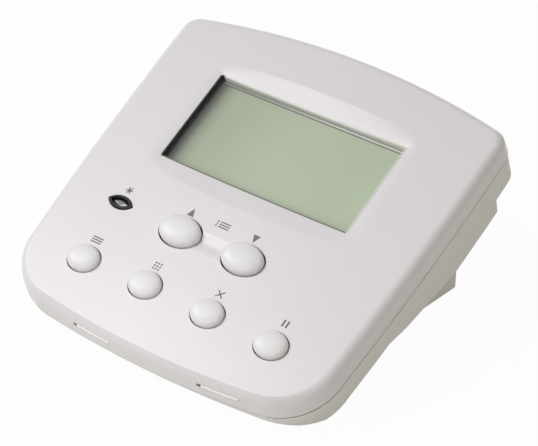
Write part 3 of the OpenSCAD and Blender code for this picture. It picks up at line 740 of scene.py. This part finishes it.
def new_tree(name, **inputs):
    """A tree with a geometry input and others of these names and kinds, and its input sockets by name."""
    tree = bpy.data.node_groups.new(name, "GeometryNodeTree")
    tree.interface.new_socket("Geometry", in_out="INPUT", socket_type="NodeSocketGeometry")
    for label, kind in inputs.items():
        tree.interface.new_socket(label, in_out="INPUT", socket_type="NodeSocket" + kind)
    tree.interface.new_socket("Geometry", in_out="OUTPUT", socket_type="NodeSocketGeometry")
    source = tree.nodes.new("NodeGroupInput")
    return tree, {s.name: Tie(tree, s) for s in source.outputs if s.name}


def close_tree(tree, geometry, finish):
    whole = add(tree, "GeometryNodeRealizeInstances", {}, {"Geometry": geometry})
    painted = add(tree, "GeometryNodeSetMaterial", {}, {"Geometry": whole, "Material": finish})
    add(tree, "NodeGroupOutput", {}, {0: painted})


def grown(name, tree, values, mesh=None):
    """Plain mesh that a tree grows from the given inputs."""
    piece = show(name, mesh or bpy.data.meshes.new(name))
    grow = piece.modifiers.new("grow", "NODES")
    grow.node_group = tree
    for item in tree.interface.items_tree:
        if item.in_out == "INPUT" and item.name in values:
            grow[item.identifier] = values[item.name]
    return final_mesh(piece)


def key_tree():
    """Oval key cap: bottom, wall and dome of one profile laid round a grid's long side."""
    tree, given = new_tree(
        "key_cap", Width="Float", Height="Float", Rise="Float", Skirt="Float", Finish="Material")
    grid = add(tree, "GeometryNodeMeshGrid", {}, {
        "Size X": 1.0, "Size Y": 1.0, "Vertices X": 73, "Vertices Y": 41})
    across, along = add(tree, "GeometryNodeInputPosition").parts()[:2]
    turn, t = (across + 0.5) * (2 * math.pi), along + 0.5
    bottom_end, wall_end = 0.1, 0.3
    bottom = (t / bottom_end).least(1.0)
    wall = ((t - bottom_end) / (wall_end - bottom_end)).most(0.0).least(1.0)
    climb = ((t - wall_end) / (1 - wall_end)).most(0.0) * (math.pi / 2)
    reach = 0.5 * bottom * climb.cosine().most(0.0) ** KEY_FLANK
    point = add(tree, "ShaderNodeCombineXYZ", {}, {
        0: given["Width"] * reach * turn.cosine(), 1: given["Height"] * reach * turn.sine(),
        2: (wall - 1.0) * given["Skirt"] + climb.sine() ** KEY_FLANK * given["Rise"]})
    bent = add(tree, "GeometryNodeSetPosition", {}, {"Geometry": grid, "Position": point})
    closed = add(tree, "GeometryNodeMergeByDistance", {}, {"Geometry": bent, "Distance": 0.002})
    close_tree(tree, closed, given["Finish"])
    return tree


def key_caps():
    tree = key_tree()
    for name, (u, v, size) in KEYS.items():
        width, height, rise = size[:3]
        cap = grown(name.replace("_key", "_cap"), tree, {
            "Width": width, "Height": height, "Rise": rise, "Skirt": FACE_WALL + KEY_BELOW,
            "Finish": key_plastic})
        cap.data.transform(FACE @ Matrix.Translation((u, v, 0)))
        outwards(cap.data)
        stand_for(tidy(cap, key_plastic, 50), name, "key_plastic", name)


key_caps()


def set_out_tree():
    """Copies of one piece on the points of a mesh."""
    tree, given = new_tree("set_out", Piece="Object", Turn="Float", Finish="Material")
    one = add(tree, "GeometryNodeObjectInfo", {}, {"Object": given["Piece"]}, "Geometry")
    count = add(tree, "GeometryNodeInputIndex")
    spin = add(tree, "ShaderNodeCombineXYZ", {}, {2: count * given["Turn"]})
    laid = add(tree, "GeometryNodeInstanceOnPoints", {}, {
        "Points": given["Geometry"], "Instance": one, "Rotation": spin})
    close_tree(tree, laid, given["Finish"])
    return tree


set_out = set_out_tree()


def copies(name, one, places, finish, turn=0.0):
    """One plain mesh of a piece repeated at the places, in the piece's own axes."""
    sample = show(name + "_one", one)
    points = mesh_of(name, places, [])
    made = grown(name, set_out, {"Piece": sample, "Turn": turn, "Finish": finish}, points)
    bpy.data.objects.remove(sample)
    return made


def screw_mesh():
    """Pan head with a cross recess, in millimetres, head down."""
    head = [(0.02, 0.0), (1.2, 0.02), (2.0, 0.25), (2.5, 0.75), (2.7, 1.4), (2.7, 2.1)]
    shank = [(1.5, 2.1), (1.5, 10.5), (0.02, 11.0)]
    body = show("screw", lathe("screw", head + shank, 40))
    arms = (2.6, 0.6), (0.6, 2.6)
    cut(body, [prism("arm", round_rect(w, h, 0.1, 2), -0.5, 1.2, None) for w, h in arms])
    mesh = body.data
    bpy.data.objects.remove(body)
    return mesh


def fasteners_and_feet():
    places = [(s * SCREW_AT[0], *SCREW_AT[1:]) for s in (-1, 1)]
    screws = copies("housing_screw_pair", screw_mesh(), places, plated_steel, turn=0.6)
    screws.data.transform(FACE)
    stand_for(tidy(screws, plated_steel), "housing", "plated_steel", "housing_screws")
    pad = [(0.02, 0.0), (3.6, 0.0), (4.1, 0.12), (4.4, 0.4), (4.5, 0.8), (4.5, 1.6), (0.02, 1.6)]
    places = [(s * (FOOT_HALF - FOOT_TAPER * y - PAD_INSET), FOOT_REAR - y, 0)
              for y in (PAD_INSET, FOOT_LEN - PAD_INSET) for s in (-1, 1)]
    feet = copies("foot_pads", lathe("pad", pad, 48), places, foot_rubber)
    feet.data.transform(TABLE)
    stand_for(tidy(feet, foot_rubber, 40), "housing", "foot_rubber", "rubber_feet")


fasteners_and_feet()


# Display window, lamp and printed marks


def liner():
    """Thin collar from the edge of the opening down to the display, which carries painted light and shade."""
    edge = dish_edge()
    outer, inner = [window_foot(p, -LINER_SINK) for p in edge], [window_foot(p, LINER) for p in edge]
    tops = [-dish_depth(window_foot(p)) - LINER_DROP for p in edge]
    rings = [raised(outer, -DISPLAY_DEPTH)]
    rings += [[(*p, w) for p, w in zip(line, tops)] for line in (outer, inner)]
    rings.append(raised(inner, -DISPLAY_DEPTH))
    n, m = len(outer), len(rings)
    faces = [face for j in range(m) for face in band(j * n, (j + 1) % m * n, n)]
    points = [p for ring in rings for p in on_display(ring)]
    mesh = outwards(mesh_of("window_liner", points, faces, FACE))
    stand_for(tidy(show("window_liner", mesh), window_liner), "housing", "black_plastic")


def lamp():
    rim = show("lamp_rim", eye_loft("lamp_rim", [(1.4, -3.2), (1.4, -2.45)]))
    cut(rim, [eye_loft("collar", [(0.0, -2.6), (0.0, 0.35), (-0.3, 0.6)])], "UNION")
    cut(rim, [eye_loft("bowl", [(-1.3, -1.2), (-0.85, 0.7), (-0.5, 2.0)])])
    stand_for(tidy(rim, lamp_black), "housing", "lamp_plastic", "indicator_lens")
    steps = [(-LENS_IN, LENS_FOOT)]
    for k in range(8):
        a = math.radians(11 * k)
        steps.append((-LENS_IN - LENS_ROUND * (1 - math.cos(a)), -LENS_DEPTH + LENS_DEPTH * math.sin(a)))
    dome = show("lamp_dome", eye_loft("lamp_dome", steps))
    stand_for(tidy(dome, lamp_clear, 60), "housing", "lamp_plastic", "indicator_lens")


def marks():
    """Small generic signs, printed over the keys and the lamp."""
    plans = []
    bar_pitch, dot_pitch, star = 0.9, 1.05, 1.3

    def at(u, v, plan):
        plans.append([(u + x, v + y) for x, y in plan])

    def stroke(u, v, x0, y0, x1, y1, t=0.42):
        d = Vector((x1 - x0, y1 - y0)).normalized()
        n = Vector((-d[1], d[0])) * t / 2
        ends = (x0, y0, 1), (x0, y0, -1), (x1, y1, -1), (x1, y1, 1)
        at(u, v, [(x + s * n[0], y + s * n[1]) for x, y, s in ends])

    def dot(u, v, r):
        at(u, v, arc((0, 0), r, 0, 2 * math.pi, 16)[:-1])

    at(-14.0, -32.1, [(-1.25, -1.15), (1.25, -1.15), (0, 1.9)])
    at(10.3, -31.2, [(-1.25, 1.0), (0, -2.0), (1.25, 1.0)])
    for k in range(3):
        y = bar_pitch * (k - 1)
        stroke(-36.4, -53.9, -2.0, y, 2.0, y)
        stroke(-1.9, -31.7, -1.4, y, 2.4, y)
        dot(-4.2, -31.7 + y, 0.3)
        for j in range(3):
            dot(-12.5 + dot_pitch * (j - 1), -53.5 + dot_pitch * (k - 1), 0.34)
        x, y = star * math.cos(math.pi * k / 3), star * math.sin(math.pi * k / 3)
        stroke(-38.0, -33.6, -x, -y, x, y)
    for s in (-1, 1):
        stroke(11.7, -53.3, -1.2, -1.2 * s, 1.2, 1.2 * s)
        stroke(36.1 + 0.7 * s, -53.2, 0, -1.25, 0, 1.25, 0.6)
    mesh = joined("printed_marks", [prism("mark", plan, -PRINT_SINK, PRINT_RISE) for plan in plans])
    sheet = show("printed_marks", outwards(mesh))
    sheet.data.materials.append(print_ink)
    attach(sheet, "housing")


liner()
lamp()
marks()


# Cell door, cell springs and sockets


def cell_door():
    door = dressed_copy("cell_door", "battery_door", door_plastic, 0.25)
    stand_for(door, "battery_door", "housing_plastic", "battery_door")


def coil_tree():
    tree, given = new_tree(
        "cell_coil", Turns="Float", Foot="Float", Tip="Float", Height="Float", Wire="Float",
        Finish="Material")
    line = add(tree, "GeometryNodeCurveSpiral", {}, {
        "Resolution": 28, "Rotations": given["Turns"], "Start Radius": given["Foot"],
        "End Radius": given["Tip"], "Height": given["Height"]})
    ring = add(tree, "GeometryNodeCurvePrimitiveCircle", {}, {"Resolution": 8, "Radius": given["Wire"]})
    tube = add(tree, "GeometryNodeCurveToMesh", {}, {"Curve": line, "Profile Curve": ring, "Fill Caps": True})
    close_tree(tree, tube, given["Finish"])
    return tree


def cell_coils():
    coil = grown("coil", coil_tree(), {
        "Turns": 4.0, "Foot": 4.4, "Tip": 2.9, "Height": 2.2, "Wire": 0.3, "Finish": plated_steel})
    coils = []
    for k in range(4):
        s = 1 if k % 2 == 0 else -1
        y = BAY_REAR - BAY_LEN + COIL_SEAT if s > 0 else BAY_REAR - COIL_SEAT
        seat = Matrix.Translation(((k - 1.5) * CELL_PITCH, y, CELL_Z))
        one = coil.data.copy()
        one.transform(TABLE @ seat @ Matrix.Rotation(-math.pi / 2 * s, 4, "X"))
        coils.append(one)
    bpy.data.objects.remove(coil)
    made = outwards(joined("cell_coils", coils))
    stand_for(tidy(show("cell_coils", made), plated_steel, 60), "housing", "plated_steel", "battery_springs")


cell_door()
cell_coils()
for side in ("line", "phone"):
    socket = dressed_copy(side + "_socket", side + "_jack", black_plastic, 0.2)
    stand_for(socket, "housing", "black_plastic", side + "_jack")

for node, finish in {
    "display_window": clear_plastic, "lcd_frame": black_plastic, "lcd_glass": display_glass,
    "zebra_strips": strip_silicone, "main_board": board_laminate, "control_chip": chip_resin,
    "line_transformer": core_steel, "board_capacitors": can_sleeve, "keypad_mat": silicone,
    "indicator_led": led_resin, "battery_cells": cell_jacket, "battery_contacts": plated_steel,
    "battery_leads": red_jacket, "jack_contacts": contact_brass, "jack_leads": yellow_jacket,
    "board_screws": plated_steel,
}.items():
    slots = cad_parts[node].data.materials
    slots.clear()
    slots.append(finish)


# Studio


def seen(tree):
    """1 for what the camera sees straight, mirrored or through a clear piece, and 0 for other light."""
    rays = "Is Camera Ray", "Is Glossy Ray", "Is Transmission Ray"
    a, b, c = (add(tree, "ShaderNodeLightPath", out=ray) for ray in rays)
    return (a + b + c).least(1.0)


def lay_floor():
    """Plain floor that looks white, and lights the object as a pale matt one does."""
    corners = [(-4, -4, 0), (4, -4, 0), (4, 4, 0), (-4, 4, 0)]
    floor = show("floor", mesh_of("floor", corners, [(0, 1, 2, 3)]))
    pale = bpy.data.materials.new("floor_pale")
    tree = bare_tree(pale)
    matt = add(tree, "ShaderNodeBsdfDiffuse", {}, {"Color": FLOOR_COLOUR})
    white = add(tree, "ShaderNodeEmission", {}, {"Color": WHITE, "Strength": 1.0})
    both = add(tree, "ShaderNodeMixShader", {}, {0: seen(tree) * FLOOR_GLOW, 1: matt, 2: white})
    add(tree, "ShaderNodeOutputMaterial", {}, {"Surface": both})
    floor.data.materials.append(pale)


def aimed(name, data, at, way):
    """A light or a camera at a place, turned to look along a way."""
    made = show(name, data)
    made.location = at
    made.rotation_euler = Vector(way).to_track_quat("-Z", "Y").to_euler()
    return made


def studio():
    scene = bpy.context.scene
    scene.view_settings.view_transform = "Standard"
    lay_floor()

    scene.world = bpy.data.worlds.new("studio")
    tree = bare_tree(scene.world)
    plain = seen(tree)
    sky = add(tree, "ShaderNodeBackground", {}, {
        "Color": blend_colour(tree, plain, SKY_COLOUR, WHITE),
        "Strength": SKY_POWER + (1 - SKY_POWER) * plain})
    add(tree, "ShaderNodeOutputWorld", {}, {"Surface": sky})

    for name, at, size, power in (
            ("left_light", (-0.82, -0.22, 0.879), 0.3, 4.3),
            ("high_light", (-0.278, -0.112, 0.55), 0.12, 0.43),
            ("front_light", (0.0, -0.213, 0.179), 0.2, 0.195)):
        light = bpy.data.lights.new(name, "AREA")
        light.shape, light.size, light.energy, light.color = "DISK", size, power, LIGHT_COLOUR
        aimed(name, light, at, LIGHT_AIM - Vector(at))

    view = bpy.data.cameras.new("camera")
    view.lens, view.sensor_width, view.sensor_fit = 135.81, 36.0, "HORIZONTAL"
    view.clip_start, view.clip_end = 0.01, 50
    at = 0.30502, (WINDOW_Y - 432.47) / 1000, (WINDOW_Z + 368.85) / 1000
    scene.camera = aimed("camera", view, at, (-0.46669, 0.64995, -0.59980))


studio()

bpy.context.view_layer.update()
